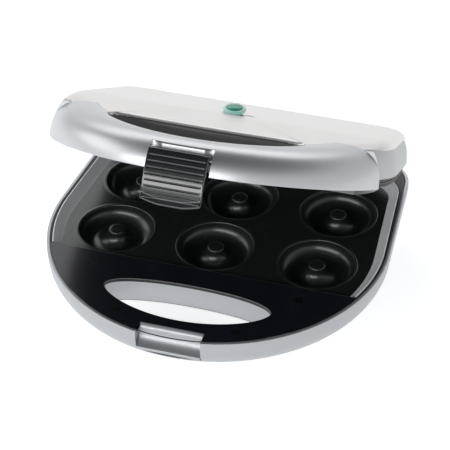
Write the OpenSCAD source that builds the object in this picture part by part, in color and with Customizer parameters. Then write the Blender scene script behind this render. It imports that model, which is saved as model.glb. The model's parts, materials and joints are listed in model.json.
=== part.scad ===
/* [Body in plan] */
// Radius of the rounded front in plan
bow_r = 119; // [117:0.5:121]
// How far the rear wall of the base lies behind the origin
base_rear = 114; // [113:0.5:116]
// How far the rear wall of the lid lies behind the origin
lid_rear = 104; // [103:0.5:104]
// Radius of the rear corners in plan
corner_r = 26; // [25.5:0.5:28]
// Half the distance between the centres of the rear corners
corner_x = 87; // [86:0.5:88]
// Where the straight joint between handle cover and baking plate lies
cover_y = -44; // [-45:0.5:-43]

/* [Heights] */
// Height of the base's rim above the table
rim_z = 42; // [41:0.5:44]
// Height of the rubber feet
foot_h = 4; // [3.5:0.5:4.5]
// Underside of the handle part of the base
under_z = 23.5; // [23:0.5:24.5]
// Depth of the lower baking plate below the rim
plate_drop = 5.5; // [5:0.5:6]
// Height of the lid's flat top above its own rim
lid_h = 29; // [28:0.5:30]
// Height of the handle bar above the lid's rim
bar_h = 20.8; // [20:0.2:22]
// Wall thickness of the plastic shells
wall = 2.2; // [2:0.1:2.4]

/* [Baking cavities] */
// Distance between cavities from left to right
pitch_x = 72; // [72:0.5:73]
// Distance between cavities from front to back
pitch_y = 59.3; // [58.5:0.1:60]
// Outer radius of a cavity
ring_r = 26; // [25:0.5:26]
// Radius of the post in the middle of a cavity
post_r = 5.8; // [5:0.2:6.4]

/* [Hinges and latch] */
// How far the lid stands open at rest, in degrees
lid_open = 29.5; // [25:0.5:35]
// How far the latch hangs clear of its hooked position at rest, in degrees
latch_out = 6; // [5:0.5:8]
// Radius of the hinge pins
hinge_pin_r = 2.5; // [2.3:0.1:2.7]
// Width of the latch
latch_w = 39.6; // [39:0.2:40.4]

/* [Hidden] */
$fn = 64;

// Plan of the body
bow_c = [0, -1];
inner_rear = 100;
bow_steps = 56;
corner_steps = 10;
far = 200;
eps = 0.01;

// Lid placing: the lid is drawn shut and turned open about the hinge line
shut_gap = 0.4;
lid_z = rim_z + shut_gap;
hinge_y = 109;
hinge_z = rim_z + 4.4;
hinge_x = 80;
knuckle_r = 4.2;
knuckle_w = 7.4;
ear_r = 4.6;
ear_w = 7.4;
side_gap = 0.4;
running_gap = 0.05;

// Lid form
bar_w = 20.6;
shoulder_w = 29;
rear_w = 16;
crown_y = -2;
bar_y = -100;
ring_rise = 0.2;
round_power = 0.77;
front_end_y = -37;
skirt_low = 6;
skirt_top = 24;
tip_y = -61;

// Baking plates
plate_z = rim_z - plate_drop;
plate_t = 3;
press_gap = 0.5;
rows_y = [-10, -10 + pitch_y];
columns_x = [-pitch_x, 0, pitch_x];
tube_r = (ring_r - post_r) / 2;
tube_c = (ring_r + post_r) / 2;
cup_wall = 2;
plate_front = -52;
upper_drop = lid_z - plate_z - press_gap;
upper_floor = 2.4;
upper_front = -40.5;
upper_rear = 98;

// Tubular heaters
heater_r = 3.25;
heater_x = 36;
heater_front = -46;
upper_heater_start = -26;
heater_bend = 8;
heater_end = 84;
upper_heater_end = 77;
pin_r = 1.6;
pin_len = 7;
middle_y = (rows_y[0] + rows_y[1]) / 2;

// Fixings
cover_t = 2.5;
screw_r = 1.6;
head_r = 3.2;
boss_r = 4;
base_cover_spots = [[71.5, -56.6], [40.8, -99.4]];
lid_cover_spots = [[79, -55], [40.8, -101.5]];
base_screw_spots = [[104, 34], [92, 94]];
plate_screw_spots = [[105.5, 5], [98, 82]];
foot_spots = [[60, -16], [60, 66]];
reflector_posts = [[36, 4], [36, 44]];
lid_screw_spots = [[107, 30], [94.5, 86.5]];
upper_plate_spots = [[107.5, 0], [102.5, 58]];
foot_r = 9;
reflector_z = 14;
reflector_t = 0.6;

// Cord bush
gland_z = 22;
gland_r = 6;
gland_start = 94.5;
cord_r = 3.4;

// Latch and its catch
notch_x = 22;
notch_y = -107.5;
catch_front = -118.9;
notch_z = 25.8;
ledge_z = 28.2;
pocket_x = 20.8;
pocket_y = -110.5;
pocket_top = 16.8;
latch_y = -114;
latch_z = lid_z + 10;
latch_pin_r = 1.2;
latch_pin_x = 22;
barrel_r = 2.8;
rib_pitch = 3.9;

// Indicator lamp
lamp_y = 10;
lamp_r = 8;
leaf_tip = 16.5;

// ---- outlines ----

function arc(c, r, a, b, n) =
    [for (i = [0:n]) c + r * [cos(a + (b - a) * i / n), sin(a + (b - a) * i / n)]];

// Angle by which the straight sides lean in towards the rear
function lean(rear) = let (d = [corner_x, rear - corner_r] - bow_c)
    atan2(d[1], d[0]) - acos((bow_r - corner_r) / norm(d));

// The body's outline, moved inwards by inset: two rear corners, then the bow
function outline(inset, rear) =
    let (a = lean(rear),
         r = max(corner_r - inset, 1),
         over = max(inset - corner_r + 1, 0),
         c = [corner_x - over, rear - corner_r - over],
         m = [-c[0], c[1]])
    concat(arc(c, r, a, 90, corner_steps), arc(m, r, 90, 180 - a, corner_steps),
        arc(bow_c, bow_r - inset, 180 - a, 360 + a, bow_steps));

// Finger opening: a lens with rounded tips, bent round the bow
function opening(half_x, half_y, mid_y, bend, grow) =
    [for (t = [0:6:354]) let (x = (half_x + grow) * cos(t))
        [x, mid_y + bend * pow(cos(t), 2) + (half_y + grow) * sign(sin(t)) * pow(abs(sin(t)), 1.16)]];
function base_opening(grow) = opening(57.5, 18, -81, 4.8, grow);
function lid_opening(grow) = opening(67, 21.5, -78.5, 17.5, grow);

function ease(t) = let (s = min(max(t, 0), 1)) s * s * (3 - 2 * s);

// 0 at the middle of the front, 180 at the middle of the rear
function front_angle(p) = abs(atan2(p[0], bow_c[1] - p[1]));
function top_w(a) = bar_w + (shoulder_w - bar_w) * pow(min(a / 50, 1), 1.3)
    - (shoulder_w - rear_w) * ease((a - 66) / 16);

// Height of the lid's top over its rim: level behind crown_y, falling towards the handle bar
function crown(y) = lid_h - max(crown_y - y, 0) * (lid_h - bar_h) / (crown_y - bar_y);

// ---- general solids ----

module plate_at(z, t, points) {
    translate([0, 0, z]) linear_extrude(t) polygon(points);
}

// A band between two outlines
module band(z, t, outer, inner) {
    translate([0, 0, z]) linear_extrude(t) difference() {
        polygon(outer);
        polygon(inner);
    }
}

module behind(y) {
    translate([-far, y, -far]) cube([2 * far, 2 * far, 2 * far]);
}

module ahead(y) {
    translate([-far, y - 2 * far, -far]) cube([2 * far, 2 * far, 2 * far]);
}

// A closed skin through rings of equal length, from the lowest to the highest
module skin(rings) {
    n = len(rings[0]);
    k = len(rings);
    sides = [for (j = [0:k - 2], i = [0:n - 1]) let (a = j * n + i, b = j * n + (i + 1) % n)
        each [[a, a + n, b + n], [a, b + n, b]]];
    low = [[for (i = [0:n - 1]) i]];
    high = [[for (i = [n - 1:-1:0]) (k - 1) * n + i]];
    polyhedron(points = [for (r = rings) each r], faces = concat(sides, low, high));
}

// A section of [inset, height] points swept once round an outline
module hoop(section, rear) {
    n = len(outline(0, rear));
    k = len(section);
    points = [for (s = section) each [for (p = outline(s[0], rear)) [p[0], p[1], s[1]]]];
    faces = [for (j = [0:k - 1], i = [0:n - 1])
        let (a = j * n + i, b = j * n + (i + 1) % n, u = ((j + 1) % k) * n)
        each [[a, u + i, u + (i + 1) % n], [a, u + (i + 1) % n, b]]];
    polyhedron(points = points, faces = faces);
}

module both_sides() {
    for (s = [0, 1]) mirror([s, 0, 0]) children();
}

module at_spots(spots) {
    both_sides() for (p = spots) translate([p[0], p[1], 0]) children();
}

module rod(a, b, r) {
    d = b - a;
    translate(a) rotate([0, acos(d[2] / norm(d)), atan2(d[1], d[0])]) cylinder(h = norm(d), r = r);
}

module cross_rod(y, z, r, x0, x1) {
    translate([x0, y, z]) rotate([0, 90, 0]) cylinder(h = x1 - x0, r = r);
}

module open_lid() {
    translate([0, hinge_y, hinge_z]) rotate([-lid_open, 0, 0]) translate([0, -hinge_y, -hinge_z]) children();
}

module hang_latch() {
    translate([0, latch_y, latch_z]) rotate([-latch_out, 0, 0]) translate([0, -latch_y, -latch_z]) children();
}

// A screw with its head at z and its shank upwards (up = 1) or downwards (up = -1)
module screw(z, shank, up, head_t = 1.6) {
    translate([0, 0, z]) mirror([0, 0, up > 0 ? 0 : 1]) difference() {
        union() {
            cylinder(h = head_t, r = head_r - 0.2);
            cylinder(h = head_t + shank, r = screw_r);
        }
        for (a = [0, 90]) rotate([0, 0, a]) translate([-2, -0.4, -eps]) cube([4, 0.8, 0.8]);
    }
}

// ---- base ----

// The wall is upright above this height
straight_z = 28;
base_profile = [[33, foot_h], [28, 5.2], [20, 9.5], [12, 15.5], [6, 21], [2.5, 26], [0.6, 31],
    [0, 36], [0, rim_z]];

function base_ring(s, grow, top) = [for (p = outline(s[0] + grow, base_rear))
    [p[0], p[1], s[1] + (s[1] == rim_z ? top : s[1] > straight_z ? 0 : grow)]];

module base_solid(grow = 0, top = 0) {
    skin([for (s = base_profile) base_ring(s, grow, top)]);
}

// Everything ahead of and below the belly, where the fingers reach under the handle
module finger_space(grow) {
    throat = [-60.5 + 0.35 * grow, under_z + grow];
    keel = [-34 + 1.68 * grow, foot_h];
    translate([-far, 0, 0]) rotate([90, 0, 90]) linear_extrude(2 * far)
        polygon([[-far, -10], [-far, throat[1]], throat, keel, [keel[0] + 14, -10]]);
}

module base_shell() color("silver") {
    difference() {
        base_solid();
        difference() {
            base_solid(wall, 5);
            plate_at(-1, 80, base_opening(wall));
            finger_space(wall);
            at_spots(base_screw_spots) translate([0, 0, -1]) cylinder(h = 31, r = 6);
            at_spots(base_cover_spots) cylinder(h = rim_z - cover_t, r = boss_r);
            at_spots(foot_spots) cylinder(h = 12, r = 5);
            at_spots(reflector_posts) cylinder(h = reflector_z, r = 3.5);
            translate([-11, 84, 5]) cube([22, 8, 9]);
        }
        plate_at(-1, 80, base_opening(0));
        finger_space(0);
        intersection() {
            plate_at(rim_z - cover_t, 10, outline(wall, base_rear));
            ahead(cover_y);
        }
        at_spots(base_screw_spots) translate([0, 0, -1]) cylinder(h = 23, r = 4);
        at_spots(base_screw_spots) cylinder(h = 40, r = screw_r + 0.1);
        at_spots(base_cover_spots) translate([0, 0, rim_z - 12]) cylinder(h = 20, r = screw_r);
        at_spots(foot_spots) cylinder(h = 10, r = screw_r);
        translate([-notch_x, -far, notch_z]) cube([2 * notch_x, far + notch_y, 50]);
        translate([0, 60, gland_z]) rotate([-90, 0, 0]) cylinder(h = 80, r = gland_r);
    }
}

// Plate carrier round the rim, with the rear deck and the hinge ears
module base_frame() color([0.08, 0.09, 0.1]) {
    difference() {
        union() {
            intersection() {
                union() {
                    band(30, plate_z - plate_t - 30, outline(wall + 1.5, base_rear), outline(15, inner_rear));
                    band(33, 7.8, outline(wall + 0.4, base_rear), outline(wall + 1.9, base_rear));
                    band(38.5, rim_z - 38.9, outline(wall + 0.4, base_rear), outline(wall + 1.1, inner_rear));
                }
                behind(cover_y + 0.3);
            }
            both_sides() for (x = [hinge_x - knuckle_w / 2 - side_gap - ear_w, hinge_x + knuckle_w / 2 + side_gap]) {
                cross_rod(hinge_y, hinge_z, ear_r, x, x + ear_w);
                translate([x, hinge_y - ear_r, 40]) cube([ear_w, 6.6, hinge_z - 40]);
            }
        }
        both_sides() cross_rod(hinge_y, hinge_z, hinge_pin_r, 50, 110);
        at_spots(base_screw_spots) cylinder(h = 36, r = screw_r);
        at_spots(plate_screw_spots) cylinder(h = 36, r = screw_r + 0.1);
        translate([-50, 78, 29]) cube([100, 15, 8]);
    }
}

module base_bezel() color([0.85, 0.86, 0.87]) {
    intersection() {
        hoop([[wall + 1.4, rim_z - 0.2], [wall + 2.2, rim_z + 0.3], [8.2, plate_z + 0.2],
            [8.2, plate_z - 2.8], [7.5, plate_z - 2.8], [7.3, plate_z]], inner_rear);
        behind(cover_y + 0.3);
    }
}

module handle_cover() color([0.05, 0.05, 0.08]) {
    difference() {
        intersection() {
            union() {
                plate_at(rim_z - cover_t, cover_t, outline(wall + 0.1, base_rear));
                translate([-107, cover_y - 2, plate_z + 0.4]) cube([214, 2, 3]);
            }
            ahead(cover_y);
        }
        plate_at(0, 80, base_opening(0));
        at_spots(base_cover_spots) cylinder(h = 80, r = screw_r + 0.1);
        at_spots(base_cover_spots) translate([0, 0, rim_z - 1.8]) cylinder(h = 10, r = head_r);
        translate([-notch_x, -far, 0]) cube([2 * notch_x, far + notch_y, 80]);
    }
}

module handle_cover_screws() color([0.2, 0.2, 0.22])
    at_spots(base_cover_spots) screw(rim_z - 0.2, 9, -1);

// Catch that fills the notch in the front: sloping top, hollowed face and the ledge that is hooked
module latch_catch() color("silver") {
    translate([-notch_x + 0.2, 0, 0]) rotate([90, 0, 90]) linear_extrude(2 * notch_x - 0.4) difference() {
        polygon([[notch_y - 0.1, rim_z - 0.1], [-111.5, rim_z - 3.4], [catch_front, 33], [catch_front, 30],
            [catch_front, ledge_z], [notch_y - 0.1, ledge_z]]);
        translate([-119.5, 39.6]) circle(r = 9.2);
    }
}

module cups(z) {
    for (x = columns_x, y = rows_y) translate([x, y, z]) children();
}

// Aluminium plate with a ring-shaped cavity and centre post at each place
module cup_hollows(r) {
    rotate_extrude() translate([tube_c, 0]) circle(r = r);
}

module lower_baking_plate() color([0.1, 0.11, 0.12]) {
    difference() {
        union() {
            intersection() {
                plate_at(plate_z - plate_t, plate_t, outline(8.5, inner_rear));
                behind(plate_front);
            }
            cups(plate_z) intersection() {
                cup_hollows(tube_r + cup_wall);
                translate([0, 0, -20]) cylinder(h = 20, r = 40);
            }
            cups(plate_z) rotate_extrude() translate([ring_r + 1, 0]) circle(r = 0.5);
        }
        cups(plate_z) cup_hollows(tube_r);
        at_spots(plate_screw_spots) cylinder(h = plate_z - 1, r = screw_r);
    }
}

// Tubular heater: two legs between the columns of cavities, joined across the front
module heater(z, front) {
    both_sides() {
        translate([heater_x, front + heater_bend, z]) rotate([-90, 0, 0])
            cylinder(h = heater_end - front - heater_bend, r = heater_r);
        translate([heater_x, heater_end - eps, z]) rotate([-90, 0, 0]) cylinder(h = pin_len, r = pin_r);
        translate([heater_x - heater_bend, front + heater_bend, z])
            rotate([0, 0, 270]) rotate_extrude(angle = 90) translate([heater_bend, 0]) circle(r = heater_r);
    }
    cross_rod(front, z, heater_r, -heater_x + heater_bend, heater_x - heater_bend);
}

module lower_heater() color([0.45, 0.42, 0.4])
    heater(plate_z - plate_t - heater_r, heater_front);

module clip(z, up) {
    translate([0, 0, z]) mirror([0, 0, up > 0 ? 0 : 1]) {
        translate([-heater_r - 2, -5, 2 * heater_r]) cube([2 * heater_r + 10, 10, 1]);
        translate([heater_r + 0.6, -5, 0]) cube([1, 10, 2 * heater_r + eps]);
        translate([heater_r + 0.6, -5, 0]) cube([7, 10, 1]);
    }
}

module lower_heater_clips() color([0.7, 0.71, 0.72])
    at_spots([[heater_x, middle_y], [heater_x, 79]]) clip(plate_z - plate_t, -1);

module lower_plate_screws() color([0.6, 0.6, 0.62])
    at_spots(plate_screw_spots) screw(30 - 1.6, 5.3, 1);

// Bright tray that throws the heat back up
module lower_reflector() color([0.8, 0.81, 0.82]) {
    intersection() {
        union() {
            plate_at(reflector_z, reflector_t, outline(20, inner_rear));
            band(reflector_z, 7, outline(20, inner_rear), outline(20 + reflector_t, inner_rear));
        }
        behind(-38);
    }
}

module base_screws() color([0.6, 0.6, 0.62])
    at_spots(base_screw_spots) screw(22 - 1.6, 9.6, 1);

module feet() color([0.12, 0.12, 0.13])
    at_spots(foot_spots) difference() {
        cylinder(h = foot_h, r = foot_r);
        translate([0, 0, -eps]) cylinder(h = 2.1, r = head_r + 0.4);
        cylinder(h = 10, r = screw_r + 0.2);
    }

module foot_screws() color([0.6, 0.6, 0.62])
    at_spots(foot_spots) screw(0.4, 7, 1);

module hinge_pins() color([0.75, 0.76, 0.77])
    both_sides() cross_rod(hinge_y, hinge_z, hinge_pin_r, hinge_x - knuckle_w / 2 - side_gap - ear_w,
        hinge_x + knuckle_w / 2 + side_gap + ear_w);

// Bush in the rear wall that the supply cord would pass through
module cord_gland() color([0.1, 0.1, 0.11])
    translate([0, 0, gland_z]) rotate([-90, 0, 0]) difference() {
        union() {
            translate([0, 0, gland_start]) cylinder(h = 20, r = gland_r);
            translate([0, 0, 114]) cylinder(h = -catch_front - 114, r = gland_r + 2);
            translate([0, 0, gland_start]) cylinder(h = 1.6, r = gland_r + 0.8);
        }
        translate([0, 0, 80]) cylinder(h = 60, r = cord_r);
    }

module terminal_block() color([0.9, 0.9, 0.86])
    translate([-10, 84.5, 14]) difference() {
        cube([20, 7, 8]);
        for (x = [4, 10, 16]) translate([x, 3.5, 3]) cylinder(h = 6, r = 1.8);
    }

module thermal_fuse() color([0.85, 0.86, 0.87])
    cross_rod(86, plate_z - plate_t - 2.6, 2.5, -7, 7);

module base_leads() color([0.75, 0.2, 0.15]) {
    rod([-6, 88, 23.3], [3 - heater_x, 88, 28], 1);
    rod([6, 88, 23.3], [7.6, 87.4, 28.4], 1);
    rod([9.4, 86, 30.4], [heater_x - 3, 88, 29.6], 1);
}

// ---- lid, drawn shut ----

lid_steps = [0, 0.08, 0.2, 0.32, 0.45, 0.6, 0.75, 0.9, 1];
lid_plan = outline(0, lid_rear);
lid_plan_in = outline(1, lid_rear);

function lid_ring(u, grow) = [for (i = [0:len(lid_plan) - 1])
    let (p = lid_plan[i],
         d = grow + (top_w(front_angle(p)) - grow) * (1 - pow(cos(90 * u), round_power)),
         q = p + d * (lid_plan_in[i] - p))
    [q[0], q[1], lid_z + (crown(q[1]) - grow) * pow(sin(90 * u), round_power) + ring_rise * u * u]];

function lid_cap() = [for (i = [0:len(lid_plan) - 1])
    let (p = lid_plan[i], q = p + (top_w(front_angle(p)) + 1.5) * (lid_plan_in[i] - p))
    [q[0], q[1], lid_z + lid_h + 3]];

function lid_foot(grow) = [for (i = [0:len(lid_plan) - 1])
    let (q = lid_plan[i] + grow * (lid_plan_in[i] - lid_plan[i])) [q[0], q[1], lid_z - 5]];

// The rounded form, cut off by the level top and its slope towards the front
module lid_solid(grow = 0) {
    rings = [for (u = lid_steps) lid_ring(u, grow)];
    top = lid_z + lid_h - grow;
    intersection() {
        skin(concat(grow > 0 ? [lid_foot(grow)] : [], rings, [lid_cap()]));
        translate([-far, 0, 0]) rotate([90, 0, 90]) linear_extrude(2 * far)
            polygon([[-far, 0], [far, 0], [far, top], [crown_y, top], [-far, lid_z + crown(-far) - grow]]);
    }
}

module lid_hollow_shell() {
    difference() {
        lid_solid();
        lid_solid(wall);
    }
}

// Walls of the finger opening, inside the lid's outer form
module opening_wall() {
    intersection() {
        lid_solid();
        band(lid_z + cover_t, lid_h, lid_opening(wall), lid_opening(0));
    }
}

// The flat top's own area, behind the handle
module top_region(grow) {
    intersection() {
        plate_at(lid_z - 10, 60, outline(shoulder_w + 0.2 - grow, lid_rear));
        behind(tip_y - grow);
    }
}

module pocket_space(grow) {
    translate([-pocket_x - grow, -far, lid_z - 10])
        cube([2 * (pocket_x + grow), far + pocket_y + grow, pocket_top + 10 + grow]);
}

module lid_front_shell() color([0.8, 0.81, 0.82]) open_lid() {
    difference() {
        intersection() {
            union() {
                lid_hollow_shell();
                opening_wall();
                intersection() {
                    lid_solid();
                    union() {
                        pocket_space(wall);
                        at_spots(lid_cover_spots) translate([0, 0, lid_z + cover_t]) cylinder(h = 60, r = boss_r);
                    }
                }
            }
            ahead(front_end_y);
        }
        top_region(0.2);
        plate_at(lid_z - 10, 60, lid_opening(0));
        pocket_space(0);
        translate([-60, -far, lid_z - 10]) cube([120, 110, 10 + cover_t - eps]);
        intersection() {
            plate_at(lid_z - 10, 10 + cover_t, outline(wall, lid_rear));
            ahead(front_end_y);
        }
        at_spots(lid_cover_spots) cylinder(h = lid_z + 11, r = screw_r);
        cross_rod(latch_y, latch_z, latch_pin_r, -latch_pin_x - 0.1, latch_pin_x + 0.1);
    }
}

// Shallow leaf-shaped hollow round the lamp, pointed to the right
module leaf(r, tip) {
    a = acos(r / tip);
    polygon(concat(arc([0, lamp_y], r, a, 360 - a, 40), [[tip, lamp_y]]));
}

module lid_top_cover() color([0.86, 0.86, 0.85]) open_lid() {
    difference() {
        union() {
            intersection() {
                lid_hollow_shell();
                union() {
                    top_region(0);
                    intersection() {
                        behind(front_end_y + 0.2);
                        translate([-far, -far, lid_z + skirt_top]) cube([2 * far, 2 * far, 50]);
                    }
                }
            }
            intersection() {
                opening_wall();
                top_region(0);
            }
            intersection() {
                lid_solid();
                at_spots(lid_screw_spots) translate([0, 0, lid_z + 2.7]) cylinder(h = 60, r = 3.2);
            }
        }
        plate_at(lid_z - 10, 60, lid_opening(0));
        translate([0, 0, lid_z + lid_h - 0.7]) linear_extrude(5) leaf(8.9, leaf_tip);
        translate([0, lamp_y, lid_z]) cylinder(h = 60, r = 6.6);
        at_spots(lid_screw_spots) cylinder(h = lid_z + 12, r = screw_r);
    }
}

module lid_side_skirt() color([0.78, 0.79, 0.79]) open_lid() {
    difference() {
        intersection() {
            hoop([[1.5, lid_z + skirt_low], [1.5 + wall, lid_z + skirt_low], [1.9 + wall, lid_z + 12],
                [3.2 + wall, lid_z + 18], [6.1 + wall, lid_z + skirt_top - 0.1], [6.1, lid_z + skirt_top - 0.1],
                [3.2, lid_z + 18], [1.9, lid_z + 12]], lid_rear);
            behind(front_end_y + 0.2);
        }
        at_spots(lid_screw_spots) cylinder(h = 100, r = 3.5);
    }
}

// Plate carrier of the lid, with its grooved edge and the hinge arms
module lid_frame() color([0.1, 0.11, 0.12]) open_lid() {
    difference() {
        union() {
            intersection() {
                union() {
                    plate_at(lid_z, 2.6, outline(4, lid_rear));
                    band(lid_z, 11, outline(4.3, lid_rear), outline(6.3, lid_rear));
                    for (z = [0.6, 2.4, 4.2]) band(lid_z + z, 0.9, outline(3.4, lid_rear), outline(4.2, lid_rear));
                }
                behind(cover_y + 0.3);
            }
            both_sides() {
                translate([hinge_x - knuckle_w / 2, 95, lid_z]) cube([knuckle_w, hinge_y - 95, 5.4]);
                cross_rod(hinge_y, hinge_z, knuckle_r, hinge_x - knuckle_w / 2, hinge_x + knuckle_w / 2);
            }
        }
        intersection() {
            plate_at(lid_z - 5, 20, outline(12.3, upper_rear));
            behind(upper_front - 0.3);
        }
        both_sides() cross_rod(hinge_y, hinge_z, hinge_pin_r + running_gap, 50, 110);
        at_spots(lid_screw_spots) cylinder(h = 60, r = screw_r + 0.1);
        at_spots(upper_plate_spots) cylinder(h = 60, r = screw_r);
    }
}

module lid_screws() color([0.6, 0.6, 0.62]) open_lid()
    at_spots(lid_screw_spots) screw(lid_z - 1.6, 11, 1);

module upper_handle_cover() color([0.05, 0.05, 0.08]) open_lid() {
    difference() {
        intersection() {
            plate_at(lid_z, cover_t - 0.1, outline(wall + 0.1, lid_rear));
            ahead(cover_y);
        }
        plate_at(0, 80, lid_opening(0));
        at_spots(lid_cover_spots) cylinder(h = 80, r = screw_r + 0.1);
        at_spots(lid_cover_spots) translate([0, 0, lid_z - eps]) cylinder(h = 1.4, r = head_r);
        pocket_space(0.3);
    }
}

module upper_handle_cover_screws() color([0.2, 0.2, 0.22]) open_lid()
    at_spots(lid_cover_spots) screw(lid_z - 0.1, 8, 1, 1.4);

// Cast plate: a pan that hangs below the lid's rim, held by a flange
module upper_baking_plate() color([0.1, 0.11, 0.12]) open_lid() {
    low = lid_z - upper_drop;
    difference() {
        union() {
            intersection() {
                union() {
                    plate_at(low, upper_floor, outline(12.6, upper_rear));
                    band(low, upper_drop + 4.6, outline(12.6, upper_rear), outline(14.8, upper_rear));
                }
                behind(upper_front);
            }
            intersection() {
                plate_at(low, upper_drop + 4.6, outline(12.6, upper_rear));
                behind(upper_front);
                ahead(upper_front + 2.2);
            }
            intersection() {
                band(lid_z + 2.7, 1.9, outline(8, upper_rear), outline(14.8, upper_rear));
                behind(upper_front);
            }
            cups(low) intersection() {
                cup_hollows(tube_r + cup_wall);
                cylinder(h = 20, r = 40);
            }
        }
        cups(low) cup_hollows(tube_r);
        at_spots(lid_screw_spots) cylinder(h = 80, r = 4.2);
        at_spots(upper_plate_spots) cylinder(h = 80, r = screw_r + 0.1);
    }
}

module upper_heater() color([0.45, 0.42, 0.4]) open_lid()
    translate([0, 0, lid_z - upper_drop + upper_floor + heater_r]) upper_heater_path();

// The upper legs end ahead of the front cavities' centres and run straight between the columns
module upper_heater_path() {
    both_sides() {
        translate([heater_x, upper_heater_start, 0]) rotate([-90, 0, 0])
            cylinder(h = upper_heater_end - upper_heater_start, r = heater_r);
        translate([heater_x, upper_heater_end - eps, 0]) rotate([-90, 0, 0]) cylinder(h = 5, r = pin_r);
        translate([heater_x, upper_heater_start - pin_len + eps, 0]) rotate([-90, 0, 0]) cylinder(h = pin_len, r = pin_r);
    }
}

module upper_heater_clips() color([0.7, 0.71, 0.72]) open_lid()
    at_spots([[heater_x, middle_y]]) clip(lid_z - upper_drop + upper_floor, 1);

module upper_plate_screws() color([0.6, 0.6, 0.62]) open_lid()
    at_spots(upper_plate_spots) screw(lid_z + 6.2, 5, -1);

module upper_reflector() color([0.8, 0.81, 0.82]) open_lid() {
    intersection() {
        union() {
            plate_at(lid_z + 13, reflector_t, outline(22, upper_rear));
            band(lid_z + 6, 7 + eps, outline(22, upper_rear), outline(22 + reflector_t, upper_rear));
        }
        behind(-38);
    }
}

// Bimetal thermostat clamped on the back of the upper plate
module thermostat() color([0.85, 0.8, 0.7]) open_lid()
    translate([25, middle_y, lid_z - upper_drop + upper_floor]) {
        cylinder(h = 6, r = 5);
        translate([0, 0, 6 - eps]) cylinder(h = 2, r = 2.5);
        translate([-2, -8.5, 1]) cube([4, 17, 0.8]);
    }

module lid_leads() color([0.75, 0.2, 0.15]) open_lid() {
    z = lid_z - upper_drop + upper_floor + heater_r;
    both_sides() {
        rod([heater_x, 80.4, z + pin_r + 0.1], [heater_x + 4, 80.4, lid_z + 9], 1);
        rod([heater_x + 4, 80.4, lid_z + 8.6], [62, 91, lid_z + 8.6], 1);
    }
}

module lamp_bezel() color([0.67, 0.88, 0.8]) open_lid()
    translate([0, lamp_y, lid_z]) difference() {
        union() {
            translate([0, 0, lid_h - 0.7]) cylinder(h = 1.3, r = lamp_r);
            translate([0, 0, 25]) cylinder(h = lid_h - 25.5, r = 6.4);
        }
        cylinder(h = 60, r = 4.9);
    }

module lamp_lens() color([0.24, 0.6, 0.47]) open_lid()
    translate([0, lamp_y, lid_z]) {
        translate([0, 0, 28]) cylinder(h = lid_h - 27.4, r = 4.8);
        intersection() {
            translate([0, 0, lid_h + 2.4 - 9.6]) sphere(r = 9.6);
            translate([0, 0, lid_h + 0.6]) cylinder(h = 5, r = 6);
        }
    }

module lamp_holder() color([0.9, 0.9, 0.86]) open_lid()
    translate([0, lamp_y, lid_z + 15]) difference() {
        cylinder(h = 9.9, r = 6.2);
        translate([0, 0, 2]) cylinder(h = 20, r = 3.6);
    }

module neon_lamp() color([0.95, 0.6, 0.35]) open_lid()
    translate([0, lamp_y, lid_z + 17]) {
        cylinder(h = 8, r = 3);
        translate([0, 0, 8]) sphere(r = 3);
    }

// ---- latch, drawn hooked, then swung clear ----

// Outer face of the tab: an arc that bulges forwards
function tab_face(z0, z1, y, bulge, n) =
    [for (i = [0:n]) let (t = i / n) [y - bulge * 4 * t * (1 - t), z0 + (z1 - z0) * t]];

module latch() color([0.05, 0.06, 0.06]) open_lid() hang_latch() {
    low = 20.2;
    high = lid_z + 12.8;
    difference() {
        union() {
            intersection() {
                translate([-latch_w / 2, 0, 0]) rotate([90, 0, 90]) linear_extrude(latch_w)
                    polygon(concat(tab_face(low, high, -120.6, 2.6, 14),
                        [[-114.6, high], [-114.6, high - 3], [-118, high - 9], [-119.7, 45],
                         [-119.7, 28], [-117.2, 27.8], [-117.2, 26.2], [-119.3, 26], [-119.3, low + 0.6]]));
                translate([0, 0, low + 30.6]) rotate([90, 0, 0]) linear_extrude(200) union() {
                    translate([-latch_w / 2, -24]) square([latch_w, 40]);
                    intersection() {
                        translate([0, 36]) circle(r = 67);
                        translate([-latch_w / 2, -31]) square([latch_w, 10]);
                    }
                }
            }
            cross_rod(latch_y, latch_z, barrel_r, -latch_w / 2, latch_w / 2);
            for (i = [0:7]) let (z = low + 5 + i * rib_pitch, t = (z - low) / (high - low))
                cross_rod(-120.4 - 2.6 * 4 * t * (1 - t), z, 0.8, -latch_w / 2 + 2.5, latch_w / 2 - 2.5);
        }
        cross_rod(latch_y, latch_z, latch_pin_r + running_gap, -30, 30);
    }
}

module latch_pin() color([0.75, 0.76, 0.77]) open_lid()
    cross_rod(latch_y, latch_z, latch_pin_r, -latch_pin_x, latch_pin_x);

base_shell();
base_frame();
base_bezel();
handle_cover();
handle_cover_screws();
latch_catch();
lower_baking_plate();
lower_heater();
lower_heater_clips();
lower_plate_screws();
lower_reflector();
base_screws();
feet();
foot_screws();
hinge_pins();
cord_gland();
terminal_block();
thermal_fuse();
base_leads();
lid_front_shell();
lid_top_cover();
lid_side_skirt();
lid_frame();
lid_screws();
upper_handle_cover();
upper_handle_cover_screws();
upper_baking_plate();
upper_heater();
upper_heater_clips();
upper_plate_screws();
upper_reflector();
thermostat();
lid_leads();
lamp_bezel();
lamp_lens();
lamp_holder();
neon_lamp();
latch();
latch_pin();
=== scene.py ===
"""Donut maker with its lid standing open: the looks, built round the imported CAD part.

Everything is drawn in millimetres in the CAD frame (X right, Y to the rear, Z up) and becomes metres in
piece(). Pieces of the lid are drawn shut, then turned open about the hinge line by open_lid().

The plan of the body is a bow of radius 119 round (0, -1) with two straight sides that lean in towards two
rear corners of radius 26. The lid's skin stands over that plan. At the inset d from its edge and the angle a
from the middle of the front, its height is
    T(d, a, y) = h(y) * (1 - c^2)^0.385,   c = (1 - d / w(a))^(1 / 0.77)
where h rises from 21 at the handle bar to 29 on the level top, and w is the width of the rounded edge.
"""

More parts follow.
